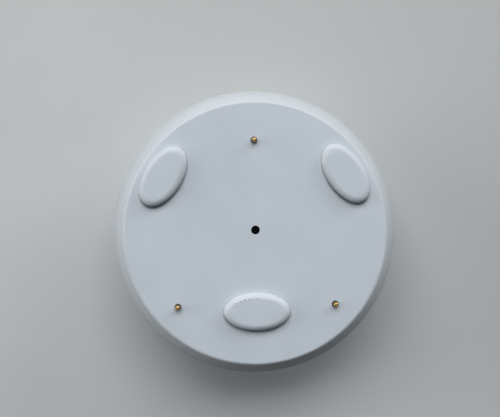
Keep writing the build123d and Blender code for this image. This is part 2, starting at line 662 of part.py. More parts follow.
def turn_point(start_radius, end_radius, pitch, turns, turn):
    """Point and direction of a coil about Z after some turns, its radius changing evenly."""
    angle = 2 * pi * turn
    growth = (end_radius - start_radius) / turns
    radius = start_radius + growth * turn
    point = Vector(radius * cos(angle), radius * sin(angle), pitch * turn)
    outward = Vector(cos(angle), sin(angle), 0) * (growth / (2 * pi))
    around = Vector(-sin(angle), cos(angle), 0) * radius
    return point, (outward + around + Vector(0, 0, pitch / (2 * pi))).normalized()


def joined_arcs(start, start_direction, end, end_direction):
    """Two arcs that leave one point and reach the other in the given directions."""
    span = end - start
    both = start_direction + end_direction
    turn = 2 * (1 - start_direction.dot(end_direction))
    along = span.dot(both)
    reach = (sqrt(along ** 2 + turn * span.dot(span)) - along) / turn
    first = start + start_direction * reach
    last = end - end_direction * reach
    middle = (first + last) * 0.5
    return [Edge.make_tangent_arc(start, start_direction, middle),
            Edge.make_tangent_arc(middle, last - first, end)]


def coil_edges(start_radius, end_radius, pitch, turns, ends=None):
    """A coil about Z as arcs of a quarter turn or less, with other directions at its ends if given."""
    count = round(2 * turns)
    places = [turn_point(start_radius, end_radius, pitch, turns, turns * i / count) for i in range(count + 1)]
    if ends:
        places[0] = (places[0][0], ends[0])
        places[-1] = (places[-1][0], ends[1])
    edges = []
    for (start, leaving), (end, arriving) in zip(places, places[1:]):
        edges += joined_arcs(start, leaving, end, arriving)
    return edges


def wire_solid(edges, wire, sides):
    """A wire of a diameter along joined edges, its section a polygon of some sides."""
    first = edges[0]
    section = Plane(origin=first @ 0, z_dir=first % 0) * RegularPolygon(wire / 2, sides)
    return sweep(section, path=Wire(edges))


def least_gap(edges, wire, turn_length):
    """The least gap of a coiled wire to itself, measured on points along its middle."""
    points = [edge @ (i / GAP_STEPS) for edge in edges for i in range(GAP_STEPS)]
    travelled = [0.0]
    for start, end in zip(points, points[1:]):
        travelled.append(travelled[-1] + (end - start).length)
    gaps = [
        (points[i] - points[j]).length
        for i in range(len(points)) for j in range(i)
        if travelled[i] - travelled[j] > turn_length / 2
    ]
    return min(gaps) - wire


def battery_contact_negative():
    """A tapering coil on a plate, which presses on the flat end of the cell."""
    _, _, _, coil, end = stack_places()
    reach = COIL_ROOM - COIL_WIRE / 2
    edges = coil_edges(COIL_WIDE_RADIUS, COIL_NARROW_RADIUS, reach / COIL_TURNS, COIL_TURNS)
    print("battery coil gap", round(least_gap(edges, COIL_WIRE, 2 * pi * COIL_NARROW_RADIUS), 2))
    facing_cell = Plane(origin=(end, -CELL_OFFSET, CELL_AXIS_Z), x_dir=(0, 1, 0), z_dir=(-1, 0, 0))
    plate = block(LEAF_THICKNESS, LEAF_WIDTH, BOARD_TOP_Z, CELL_AXIS_Z + CONTACT_RISE,
                  (end + LEAF_THICKNESS / 2, -CELL_OFFSET))
    return plate + facing_cell * wire_solid(edges, COIL_WIRE, COIL_WIRE_SIDES)


def battery_holder():
    """The cradle: end walls, two rails that the cell lies on, and four sprung clips."""
    start = -STACK_LENGTH / 2
    end = STACK_LENGTH / 2
    wall_top = CELL_AXIS_Z + CRADLE_WALL_RISE
    holder = Part()
    for x in (start - CRADLE_WALL / 2, end + CRADLE_WALL / 2):
        wall = block(CRADLE_WALL, CRADLE_WALL_WIDTH, BOARD_TOP_Z, wall_top, (x, -CELL_OFFSET))
        holder += fillet(wall.edges().filter_by(Axis.X).group_by(Axis.Z)[-1], CRADLE_CORNER_RADIUS)
    rail_length = end - start + CRADLE_WALL
    seat = CELL_DIAMETER / 2 + CRADLE_CLEARANCE
    for side in (-1, 1):
        rail_y = -CELL_OFFSET + side * (RAIL_INNER + RAIL_WIDTH / 2)
        rail = block(rail_length, RAIL_WIDTH, BOARD_TOP_Z, BOARD_TOP_Z + RAIL_HEIGHT,
                     ((start + end) / 2, rail_y))
        holder += rail - cell_drum(seat, start, end)
    sweep_angle = CLIP_HIGH_ANGLE - CLIP_LOW_ANGLE
    clip = sector(seat, seat + CLIP_THICKNESS, CLIP_LOW_ANGLE, sweep_angle, CLIP_WIDTH)
    for x in (-CLIP_SPACING / 2, CLIP_SPACING / 2):
        holder += along_cell(x - CLIP_WIDTH / 2) * clip
        holder += along_cell(x - CLIP_WIDTH / 2) * mirror(clip, Plane.YZ)
    return holder


def probe_pin(place):
    """The gold plunger of a probe, with a rounded tip and a head that stays in the barrel."""
    radius = PROBE_DIAMETER / 2
    return Pos(place[0], place[1], 0) * turned([
        *oval_points((0, radius), (radius, radius), -90, 0, PROBE_TIP_STEPS),
        (radius, PROBE_HEAD_BOTTOM_Z),
        (PROBE_HEAD_DIAMETER / 2, PROBE_HEAD_BOTTOM_Z),
        (PROBE_HEAD_DIAMETER / 2, PROBE_HEAD_TOP_Z),
        (0, PROBE_HEAD_TOP_Z),
    ])


def probe_barrel(place):
    """The barrel of a probe: crimped lip, flange on the board and closed top."""
    top = BARREL_BORE_TOP_Z + BARREL_WALL
    barrel = drum(BARREL_RADIUS, BARREL_BOTTOM_Z, top, place)
    barrel += drum(BARREL_FLANGE_DIAMETER / 2, BOARD_TOP_Z, BOARD_TOP_Z + BARREL_FLANGE_HEIGHT, place)
    barrel -= drum(BARREL_BORE_RADIUS, BARREL_BOTTOM_Z + BARREL_LIP_HEIGHT, BARREL_BORE_TOP_Z, place)
    return barrel - drum(PROBE_SEAL_BORE_RADIUS, BARREL_BOTTOM_Z - OVERRUN, BOARD_TOP_Z, place)


def probe_spring(place):
    """The coil spring between a probe's head and the top of its barrel."""
    wire = PROBE_SPRING_WIRE
    radius = BARREL_BORE_RADIUS - PROBE_SPRING_CLEARANCE - wire / 2
    length = PROBE_SPRING_LENGTH - wire - 2 * SPRING_END_GAP
    level = (Vector(0, 1, 0), Vector(0, -1, 0))
    edges = coil_edges(radius, radius, length / PROBE_SPRING_TURNS, PROBE_SPRING_TURNS, level)
    print("probe spring gap", round(least_gap(edges, wire, 2 * pi * radius), 2))
    bottom = PROBE_HEAD_TOP_Z + SPRING_END_GAP + wire / 2
    return Pos(place[0], place[1], bottom) * wire_solid(edges, wire, PROBE_SPRING_WIRE_SIDES)


def probe_seal(place):
    """The rubber ring round a probe, in its pocket in the base."""
    bottom = PROBE_SEAL_BOTTOM_Z
    return tube(PROBE_SEAL_RADIUS, PROBE_SEAL_BORE_RADIUS, bottom, bottom + PROBE_SEAL_HEIGHT, place)


def buzzer_case():
    """The siren's round case, hollow, with a sound hole and a ledge for its disc."""
    place = board_place(BUZZER_PLACE_SHARES)
    inner = BUZZER_DIAMETER / 2 - BUZZER_WALL
    top = BOARD_TOP_Z + BUZZER_HEIGHT
    disc_z = BOARD_TOP_Z + BUZZER_DISC_HEIGHT
    case = drum(BUZZER_DIAMETER / 2, BOARD_TOP_Z, top, place)
    case = chamfer(case.edges().group_by(Axis.Z)[-1], BUZZER_WALL / 2)
    case -= drum(inner, disc_z, top - BUZZER_WALL, place)
    case -= drum(inner - BUZZER_LEDGE, BOARD_TOP_Z - OVERRUN, top - BUZZER_WALL, place)
    return case - drum(BUZZER_HOLE_DIAMETER / 2, disc_z, top + OVERRUN, place)


def buzzer_disc():
    """The siren's sounding disc, on the ledge of its case."""
    disc_z = BOARD_TOP_Z + BUZZER_DISC_HEIGHT
    radius = BUZZER_DIAMETER / 2 - BUZZER_WALL
    return drum(radius, disc_z, disc_z + BUZZER_DISC_THICKNESS, board_place(BUZZER_PLACE_SHARES))


def tamper_switch():
    """The switch body, with a chamber for the button's flange under its top."""
    place = board_place(SWITCH_PLACE_SHARES)
    top = BOARD_TOP_Z + SWITCH_HEIGHT
    body = block(SWITCH_SIZE, SWITCH_SIZE, BOARD_TOP_Z, top, place)
    body = chamfer(body.edges().filter_by(Axis.Z), SWITCH_EDGE)
    chamber = BUTTON_DIAMETER / 2 + BUTTON_FLANGE + BUTTON_CLEARANCE
    body -= drum(chamber, BOARD_TOP_Z + SWITCH_FLOOR, top - SWITCH_TOP, place)
    return body - drum(BUTTON_DIAMETER / 2 + BUTTON_CLEARANCE, top - SWITCH_TOP - OVERRUN, top + OVERRUN, place)


def tamper_button():
    """The tall button, with a bevelled end and a flange that keeps it in the switch."""
    place = board_place(SWITCH_PLACE_SHARES)
    flange_top = BOARD_TOP_Z + SWITCH_HEIGHT - SWITCH_TOP - BUTTON_CLEARANCE
    flange_bottom = flange_top - BUTTON_FLANGE_THICKNESS
    stem = drum(BUTTON_DIAMETER / 2, flange_bottom, BUTTON_TOP_Z, place)
    stem = chamfer(stem.edges().group_by(Axis.Z)[-1], BUTTON_TIP_BEVEL)
    return stem + drum(BUTTON_DIAMETER / 2 + BUTTON_FLANGE, flange_bottom, flange_top, place)


def terminal_places(side):
    """The middle of each pole of the terminal block on one side of the middle, along X and Y."""
    length = TERMINAL_POLES * TERMINAL_PITCH + 2 * TERMINAL_END_WALL
    middle = side * (length + TERMINAL_SPACING) / 2
    y = TERMINAL_PLACE_SHARE * BOARD_RADIUS
    return [(middle + (i - (TERMINAL_POLES - 1) / 2) * TERMINAL_PITCH, y) for i in range(TERMINAL_POLES)]


def wire_entry_y(place):
    """The middle of a wire entry's depth, behind the +Y face of the block."""
    return place[1] + TERMINAL_DEPTH / 2 - WIRE_ENTRY_DEPTH / 2


def terminal_block(side):
    """A row of screw terminals: bevelled block, screw wells on top, wire entries at +Y."""
    poles = terminal_places(side)
    length = TERMINAL_POLES * TERMINAL_PITCH + 2 * TERMINAL_END_WALL
    middle = (sum(x for x, _ in poles) / len(poles), poles[0][1])
    top = BOARD_TOP_Z + TERMINAL_HEIGHT
    body = block(length, TERMINAL_DEPTH, BOARD_TOP_Z, top, middle)
    outer_edge = body.edges().filter_by(Axis.X).group_by(Axis.Z)[-1].sort_by(Axis.Y)[-1]
    body = chamfer(outer_edge, TERMINAL_BEVEL)
    entry_z = BOARD_TOP_Z + WIRE_ENTRY_RISE
    for place in poles:
        entry_y = wire_entry_y(place)
        body -= block(WIRE_ENTRY_WIDTH, WIRE_ENTRY_DEPTH + OVERRUN, entry_z, entry_z + WIRE_ENTRY_HEIGHT,
                      (place[0], entry_y + OVERRUN / 2))
        body -= drum(TERMINAL_WELL_DIAMETER / 2, entry_z + WIRE_ENTRY_HEIGHT, top + OVERRUN, place)
    return body


def terminal_screw(place):
    """A slotted clamp screw, down in its well."""
    bottom = BOARD_TOP_Z + WIRE_ENTRY_RISE + WIRE_ENTRY_HEIGHT
    top = BOARD_TOP_Z + TERMINAL_HEIGHT - TERMINAL_SCREW_DROP
    screw = drum(TERMINAL_SCREW_DIAMETER / 2, bottom, top, place)
    return screw - block(TERMINAL_SCREW_DIAMETER + OVERRUN, SCREW_SLOT_WIDTH,
                         top - SCREW_SLOT_DEPTH, top + OVERRUN, place)


def terminal_clamp(place):
    """The metal cage that a wire goes into."""
    entry_z = BOARD_TOP_Z + WIRE_ENTRY_RISE
    low = entry_z + CLAMP_CLEARANCE
    high = entry_z + WIRE_ENTRY_HEIGHT
    width = WIRE_ENTRY_WIDTH - 2 * CLAMP_CLEARANCE
    back = wire_entry_y(place) - WIRE_ENTRY_DEPTH / 2 + CLAMP_CLEARANCE
    middle = (place[0], back + CLAMP_DEPTH / 2)
    cage = block(width, CLAMP_DEPTH, low, high, middle)
    return cage - block(width - 2 * CLAMP_WALL, CLAMP_DEPTH + OVERRUN, low + CLAMP_WALL,
                        high - CLAMP_WALL, middle)


def radio_board():
    """The radio's own small board, with half-round solder pads along its long edges."""
    x, y = board_place(RADIO_PLACE_SHARES)
    top = BOARD_TOP_Z + RADIO_BOARD_THICKNESS
    board = block(RADIO_LENGTH, RADIO_WIDTH, BOARD_TOP_Z, top, (x, y))
    for i in range(RADIO_PAD_COUNT):
        pad_x = x + (i - (RADIO_PAD_COUNT - 1) / 2) * RADIO_PAD_PITCH
        for side in (-1, 1):
            pad = (pad_x, y + side * RADIO_WIDTH / 2)
            board -= drum(RADIO_PAD_DIAMETER / 2, BOARD_TOP_Z - OVERRUN, top + OVERRUN, pad)
    return board


def radio_shield():
    """The metal can over the radio's parts."""
    bottom = BOARD_TOP_Z + RADIO_BOARD_THICKNESS
    shield = block(SHIELD_LENGTH, SHIELD_WIDTH, bottom, bottom + SHIELD_HEIGHT, board_place(RADIO_PLACE_SHARES))
    shield = fillet(shield.edges().filter_by(Axis.Z), SHIELD_CORNER)
    return chamfer(shield.edges().group_by(Axis.Z)[-1], SHIELD_CORNER / 2)


def antenna_coil():
    """The radio's coiled wire antenna, along X, with both legs standing on the board."""
    x, y = board_place(ANTENNA_PLACE_SHARES)
    length = ANTENNA_PITCH * ANTENNA_TURNS
    axis_height = ANTENNA_BOARD_GAP + ANTENNA_WIRE / 2 + ANTENNA_RADIUS
    rising = (Vector(0, 1, 0), Vector(0, -1, 0))
    edges = coil_edges(ANTENNA_RADIUS, ANTENNA_RADIUS, ANTENNA_PITCH, ANTENNA_TURNS, rising)
    print("antenna gap", round(least_gap(edges, ANTENNA_WIRE, 2 * pi * ANTENNA_RADIUS), 2))
    first, last = edges[0] @ 0, edges[-1] @ 1
    down = Vector(0, -axis_height, 0)
    path = [Edge.make_line(first + down, first), *edges, Edge.make_line(last, last + down)]
    along_x = Plane(origin=(x - length / 2, y, BOARD_TOP_Z + axis_height), x_dir=(0, 1, 0), z_dir=(1, 0, 0))
    return along_x * wire_solid(path, ANTENNA_WIRE, ANTENNA_WIRE_SIDES)


def status_led():
    """The indicator under the light guide: flat body and low dome."""
    body_top = BOARD_TOP_Z + LED_BODY_HEIGHT
    body = block(LED_LENGTH, LED_WIDTH, BOARD_TOP_Z, body_top)
    dome = drum(LED_DOME_DIAMETER / 2, body_top, body_top + LED_DOME_HEIGHT)
    dome = chamfer(dome.edges().group_by(Axis.Z)[-1], LED_DOME_BEVEL)
    return body + dome


def controller_chip():
    """The controller, with a round mark at its first corner."""
    x, y = board_place(CHIP_PLACE_SHARES)
    top = BOARD_TOP_Z + CHIP_HEIGHT
    mark = (x - CHIP_SIZE / 2 + CHIP_MARK_INSET, y + CHIP_SIZE / 2 - CHIP_MARK_INSET)
    chip = block(CHIP_SIZE, CHIP_SIZE, BOARD_TOP_Z, top, (x, y))
    return chip - drum(CHIP_MARK_DIAMETER / 2, top - CHIP_MARK_DEPTH, top + OVERRUN, mark)


def voltage_regulator():
    """The regulator: body, wide tab on one side and three legs on the other."""
    x, y = board_place(REGULATOR_PLACE_SHARES)
    body = block(REGULATOR_WIDTH, REGULATOR_LENGTH, BOARD_TOP_Z, BOARD_TOP_Z + REGULATOR_HEIGHT, (x, y))
    body = chamfer(body.edges().group_by(Axis.Z)[-1], REGULATOR_LEG_THICKNESS)
    leg_top = BOARD_TOP_Z + REGULATOR_LEG_THICKNESS
    offset = REGULATOR_WIDTH / 2
    body += block(REGULATOR_LEG_REACH * 2, REGULATOR_TAB_WIDTH, BOARD_TOP_Z, leg_top, (x - offset, y))
    for i in (-1, 0, 1):
        body += block(REGULATOR_LEG_REACH * 2, REGULATOR_LEG_WIDTH, BOARD_TOP_Z, leg_top,
                      (x + offset, y + i * REGULATOR_LEG_PITCH))
    return body


def crystal_can():
    """The crystal in its metal can."""
    can = block(CRYSTAL_LENGTH, CRYSTAL_WIDTH, BOARD_TOP_Z, BOARD_TOP_Z + CRYSTAL_HEIGHT,
                board_place(CRYSTAL_PLACE_SHARES))
    return fillet(can.edges().filter_by(Axis.Z), CRYSTAL_CORNER)


def capacitor(place):
    """A capacitor can on its square foot."""
    foot_top = BOARD_TOP_Z + CAPACITOR_BASE_HEIGHT
    can = drum(CAPACITOR_DIAMETER / 2, foot_top, BOARD_TOP_Z + CAPACITOR_HEIGHT, place)
    can = chamfer(can.edges().group_by(Axis.Z)[-1], CAPACITOR_EDGE_BEVEL)
    return can + block(CAPACITOR_BASE_SIZE, CAPACITOR_BASE_SIZE, BOARD_TOP_Z, foot_top, place)


def resistor(place):
    """A small chip resistor or capacitor."""
    return block(RESISTOR_LENGTH, RESISTOR_WIDTH, BOARD_TOP_Z, BOARD_TOP_Z + RESISTOR_HEIGHT, place)


def temperature_sensor():
    """The thermometer chip."""
    return block(SENSOR_LENGTH, SENSOR_WIDTH, BOARD_TOP_Z, BOARD_TOP_Z + SENSOR_HEIGHT,
                 board_place(SENSOR_PLACE_SHARES))


def group(make, places):
    """Equal pieces at several places, as separate solids of one node."""
    return Compound([make(place).solids()[0] for place in places])


poles = terminal_places(-1) + terminal_places(1)
nodes = {
    "base_shell": base_shell(),
    "cover_shell": cover_shell(),
    "cover_seal": cover_seal(),
    "light_guide": light_guide(),
    "circuit_board": circuit_board(),
    "board_screws": group(board_screw, map(board_place, BOARD_SCREW_PLACES_SHARES)),
    "battery_holder": battery_holder(),
    "battery_cell": battery_cell(),
    "battery_sleeve": battery_sleeve(),
    "battery_terminal": battery_terminal(),
    "battery_contact_positive": battery_contact_positive(),
    "battery_contact_negative": battery_contact_negative(),
    "buzzer_case": buzzer_case(),
    "buzzer_disc": buzzer_disc(),
    "tamper_switch": tamper_switch(),
    "tamper_button": tamper_button(),
    "terminal_block_left": terminal_block(-1),
    "terminal_block_right": terminal_block(1),
    "terminal_screws": group(terminal_screw, poles),
    "terminal_clamps": group(terminal_clamp, poles),
    "radio_board": radio_board(),
    "radio_shield": radio_shield(),
    "antenna_coil": antenna_coil(),
    "status_led": status_led(),
    "controller_chip": controller_chip(),
    "voltage_regulator": voltage_regulator(),
    "crystal_can": crystal_can(),
    "capacitors": group(capacitor, map(board_place, CAPACITOR_PLACES_SHARES)),
    "chip_parts": group(resistor, map(board_place, RESISTOR_PLACES_SHARES)),
    "temperature_sensor": temperature_sensor(),
}
for name, shares in zip(FOOT_NAMES, FOOT_PLACES_SHARES):
    nodes[name] = foot(shares)
for number, probe_place in enumerate(probe_places(), 1):
    nodes[f"probe_pin_{number}"] = probe_pin(probe_place)
    nodes[f"probe_barrel_{number}"] = probe_barrel(probe_place)
    nodes[f"probe_spring_{number}"] = probe_spring(probe_place)
    nodes[f"probe_seal_{number}"] = probe_seal(probe_place)

print("diameter", round(2 * BODY_RADIUS, 2), "height", round(TOP_Z, 2))
os.makedirs("parts", exist_ok=True)
for name, shape in nodes.items():
    export_step(shape, f"parts/{name}.step")
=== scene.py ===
import json
from math import cos, pi, radians, sin

import bmesh
import bpy
from mathutils import Matrix, Vector


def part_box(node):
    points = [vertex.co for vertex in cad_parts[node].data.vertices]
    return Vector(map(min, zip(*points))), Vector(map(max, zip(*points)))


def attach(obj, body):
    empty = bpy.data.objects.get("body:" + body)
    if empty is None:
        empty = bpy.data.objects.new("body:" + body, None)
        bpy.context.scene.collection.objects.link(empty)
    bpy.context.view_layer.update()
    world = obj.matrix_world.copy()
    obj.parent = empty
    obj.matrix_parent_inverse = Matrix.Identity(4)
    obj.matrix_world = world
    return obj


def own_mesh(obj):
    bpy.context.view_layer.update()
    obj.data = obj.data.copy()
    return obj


# Lengths are in metres, angles in radians and lamp powers in watts. Colours are linear.

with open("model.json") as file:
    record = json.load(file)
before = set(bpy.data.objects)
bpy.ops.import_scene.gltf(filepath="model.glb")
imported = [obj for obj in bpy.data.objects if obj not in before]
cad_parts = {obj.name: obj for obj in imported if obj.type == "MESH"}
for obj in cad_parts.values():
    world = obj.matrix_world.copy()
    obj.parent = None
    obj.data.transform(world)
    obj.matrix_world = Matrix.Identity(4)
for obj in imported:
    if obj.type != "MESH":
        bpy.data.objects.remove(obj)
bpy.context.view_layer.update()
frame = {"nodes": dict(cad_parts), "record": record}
nodes = frame["nodes"]
scene = bpy.context.scene
scene.view_settings.view_transform = "Standard"

# Building blocks of the materials


def feed(tree, socket, value):
    """Gives an input a fixed value, or links it to another node's output."""
    if isinstance(value, bpy.types.NodeSocket):
        tree.links.new(value, socket)
    else:
        socket.default_value = value


def grain(tree, scale, detail=3.0, stretch=(1, 1, 1)):
    """A noise texture in the object's own coordinates, with a scale in cells per metre."""
    coords = tree.nodes.new("ShaderNodeTexCoord")
    place = tree.nodes.new("ShaderNodeMapping")
    place.inputs["Scale"].default_value = stretch
    noise = tree.nodes.new("ShaderNodeTexNoise")
    noise.inputs["Scale"].default_value = scale
    noise.inputs["Detail"].default_value = detail
    tree.links.new(coords.outputs["Object"], place.inputs["Vector"])
    tree.links.new(place.outputs["Vector"], noise.inputs["Vector"])
    return noise.outputs["Fac"]


def ramp(tree, value, low, high, start=0.35, end=0.65):
    """A colour that goes from low to high as value rises from start to end."""
    node = tree.nodes.new("ShaderNodeValToRGB")
    for stop, place, colour in zip(node.color_ramp.elements, (start, end), (low, high)):
        stop.position = place
        stop.color = (*colour, 1)
    tree.links.new(value, node.inputs["Fac"])
    return node.outputs["Color"]


def object_axes(tree, kind="Object"):
    """The three parts of a point's place in metres, or of its Normal, in the object's own axes."""
    coords = tree.nodes.new("ShaderNodeTexCoord")
    parts = tree.nodes.new("ShaderNodeSeparateXYZ")
    tree.links.new(coords.outputs[kind], parts.inputs[0])
    return parts.outputs


def mapped(tree, value, start, end, low=0.0, high=1.0):
    """value from start to end becomes low to high, and stays there beyond."""
    node = tree.nodes.new("ShaderNodeMapRange")
    node.inputs["From Min"].default_value = start
    node.inputs["From Max"].default_value = end
    node.inputs["To Min"].default_value = low
    node.inputs["To Max"].default_value = high
    tree.links.new(value, node.inputs["Value"])
    return node.outputs["Result"]


def calc(tree, operation, first, second=0.0):
    """A sum, product or other step on a value and a second value or number."""
    node = tree.nodes.new("ShaderNodeMath")
    node.operation = operation
    feed(tree, node.inputs[0], first)
    feed(tree, node.inputs[1], second)
    return node.outputs[0]


def product(tree, *values):
    """All the values multiplied with each other."""
    total = values[0]
    for value in values[1:]:
        total = calc(tree, "MULTIPLY", total, value)
    return total


def inverse(tree, value):
    """1 where value is 0, and 0 where it is 1."""
    return mapped(tree, value, 0.0, 1.0, 1.0, 0.0)


def between(tree, value, low, high, soft):
    """1 where value lies between two bounds, with soft edges."""
    rising = mapped(tree, value, low - soft, low + soft)
    falling = mapped(tree, value, high - soft, high + soft, 1.0, 0.0)
    return product(tree, rising, falling)


def blend_colours(tree, mask, first, second):
    """The first colour where mask is 0, and the second where it is 1."""
    mix = tree.nodes.new("ShaderNodeMixRGB")
    tree.links.new(mask, mix.inputs[0])
    for socket, colour in zip(mix.inputs[1:], (first, second)):
        feed(tree, socket, colour if isinstance(colour, bpy.types.NodeSocket) else (*colour, 1))
    return mix.outputs[0]


def recolour(mat, mask, colour):
    """Where mask is 1, the material takes another colour."""
    tree = mat.node_tree
    target = tree.nodes["Principled BSDF"].inputs["Base Color"]
    old = target.links[0].from_socket
    tree.links.new(blend_colours(tree, mask, old, colour), target)


GRAIN_HEIGHT = 0.0002
SMOOTHEST = 0.03
GLOSS_PER_MOTTLE = 4
ROUGH_VARY = 0.06


def finish_material(name, colour, rough, metallic=0.0, vary=0.05, mottle=120.0, bump=0.02,
                    bump_scale=5000.0, stretch=(1, 1, 1), coat=0.0, specular=0.5):
    """A moulded, plated or rubber surface: soft colour mottling, uneven gloss and a fine grain."""
    mat = bpy.data.materials.new(name)
    mat.use_nodes = True
    tree = mat.node_tree
    shader = tree.nodes["Principled BSDF"]
    low = [c * (1 - vary) for c in colour]
    high = [min(1.0, c * (1 + vary)) for c in colour]
    mottling = grain(tree, mottle, detail=4.0, stretch=stretch)
    tree.links.new(ramp(tree, mottling, low, high), shader.inputs["Base Color"])
    patches = grain(tree, mottle * GLOSS_PER_MOTTLE, stretch=stretch)
    gloss = mapped(tree, patches, 0.0, 1.0,
                   max(SMOOTHEST, rough - ROUGH_VARY), min(1.0, rough + ROUGH_VARY))
    tree.links.new(gloss, shader.inputs["Roughness"])
    height = tree.nodes.new("ShaderNodeBump")
    height.inputs["Strength"].default_value = bump
    height.inputs["Distance"].default_value = GRAIN_HEIGHT
    fine_grain = grain(tree, bump_scale, detail=2.0, stretch=stretch)
    tree.links.new(fine_grain, height.inputs["Height"])
    tree.links.new(height.outputs["Normal"], shader.inputs["Normal"])
    shader.inputs["Metallic"].default_value = metallic
    shader.inputs["Coat Weight"].default_value = coat
    shader.inputs["Specular IOR Level"].default_value = specular
    return mat


# The white casing, with a painted light tint: a little less blue where it doesn't look straight down

CASING = (0.535, 0.592, 0.652)
# The tint of the painted light on faces that look aside.
CASING_SIDE_PAINTED_TINT = (0.545, 0.588, 0.620)
LOOKS_DOWN = -0.97
LOOKS_ASIDE = -0.75


def casing_material(name):
    """Fine-grained white plastic with a painted light tint: faces that look aside are painted a little
    less blue than faces that look straight down.
    """
    mat = finish_material(name, CASING, 0.5, vary=0.02, mottle=90, bump=0.10, bump_scale=2600,
                          specular=0.35)
    upward = object_axes(mat.node_tree, "Normal")["Z"]
    # Painted light: the tint changes with the way a face looks, as if the flats were lit by bluer
    # light.
    recolour(mat, mapped(mat.node_tree, upward, LOOKS_DOWN, LOOKS_ASIDE), CASING_SIDE_PAINTED_TINT)
    return mat


# Painted shade and wear of the feet

# The colour of the painted shade at the feet's roots.
PAINTED_SHADE = (0.055, 0.057, 0.060)
PAINTED_SHADE_SHARE = 0.9
PAINTED_SHADE_START_HEIGHT = 0.0003
PAINTED_SHADE_FULL_HEIGHT = 0.0013
SHADED_SIDE_START = 0.05
SHADED_SIDE_FULL = 0.65


def add_painted_shade(mat, sole):
    """Painted shade: a dark line at the root of each foot, on the side that looks along +Y, away from
    the key light.
    """
    tree = mat.node_tree
    facing = object_axes(tree, "Normal")["Y"]
    shaded_side = mapped(tree, facing, SHADED_SIDE_START, SHADED_SIDE_FULL)
    height = object_axes(tree)["Z"]
    root = mapped(tree, height, sole + PAINTED_SHADE_START_HEIGHT, sole + PAINTED_SHADE_FULL_HEIGHT)
    # Painted shade on the +Y side of each foot's root.
    recolour(mat, product(tree, root, shaded_side, PAINTED_SHADE_SHARE), PAINTED_SHADE)


SCUFF = (0.07, 0.07, 0.07)
SCUFF_SHARE = 0.85
SCUFF_LEFT = -0.0056
SCUFF_RIGHT = 0.0002
SCUFF_X_FADE = 0.0010
SCUFF_NEAR = 0.0004
SCUFF_FAR = 0.0032
SCUFF_Y_FADE = 0.0001
SCUFF_LOW = 0.00002
SCUFF_HIGH = 0.00010
SCUFF_Z_FADE = 0.00002
SPECKS_PER_METRE = 2400
SPECK_START = 0.5
SPECK_FULL = 0.6


def add_scuffs(mat, foot):
    """Small dark scuffs on one stretch of a sole's edge, placed from the foot's box."""
    tree = mat.node_tree
    lo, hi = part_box(foot)
    middle = (lo.x + hi.x) / 2
    x, y, z = object_axes(tree)
    stretch = between(tree, x, middle + SCUFF_LEFT, middle + SCUFF_RIGHT, SCUFF_X_FADE)
    edge = between(tree, y, lo.y + SCUFF_NEAR, lo.y + SCUFF_FAR, SCUFF_Y_FADE)
    rim = between(tree, z, lo.z + SCUFF_LOW, lo.z + SCUFF_HIGH, SCUFF_Z_FADE)
    specks = mapped(tree, grain(tree, SPECKS_PER_METRE, detail=2.0), SPECK_START, SPECK_FULL)
    recolour(mat, product(tree, stretch, edge, rim, specks, SCUFF_SHARE), SCUFF)


# Painted shade on the probes

# The colour of the painted shade on the probes.
PAINTED_PIN_SHADE = (0.05, 0.03, 0.012)
PAINTED_PIN_SHADE_SHARE = 0.85
PAINTED_PIN_SHADE_START_HEIGHT = 0.00015
PAINTED_PIN_SHADE_FULL_HEIGHT = 0.0009


def add_painted_pin_shade(mat, tip):
    """Painted shade: the probes' gold is painted dark brown from just above the tip towards the root.
    """
    tree = mat.node_tree
    height = object_axes(tree)["Z"]
    root = mapped(tree, height, tip + PAINTED_PIN_SHADE_START_HEIGHT, tip + PAINTED_PIN_SHADE_FULL_HEIGHT)
    # Painted shade on the probes' sides.
    recolour(mat, product(tree, root, PAINTED_PIN_SHADE_SHARE), PAINTED_PIN_SHADE)


# Printed tracks of the circuit boards

TRACK = (0.03, 0.24, 0.10)
TINNED = (0.55, 0.55, 0.50)
# The near black of the painted shade under the boards, which shows through the fixing hole.
BOARD_UNDERSIDE_PAINTED_SHADE = (0.004, 0.010, 0.006)
TOP_FACE_DEPTH = 0.0001
TRACK_PITCH_Y = 0.00042
TRACK_PITCH_X = 0.00050
TRACK_CORE = 0.00010
TRACK_EDGE = 0.00013
TRACKS_X_PER_METRE = 150
TRACKS_X_START = 0.49
TRACKS_Y_PER_METRE = 110
TRACKS_Y_START = 0.50
PATCH_FADE = 0.01
VIAS_PER_METRE = 420
VIA_CORE = 0.10
VIA_EDGE = 0.13
BOARD_COAT = 0.4
TOP_SPECULAR = 0.5
UNDERSIDE_SPECULAR = 0.1


def tracks_across(tree, axis, pitch):
    """Parallel lines: 1 on a track, 0 on the gap beside it."""
    return mapped(tree, calc(tree, "PINGPONG", axis, pitch), TRACK_CORE, TRACK_EDGE, 1.0, 0.0)


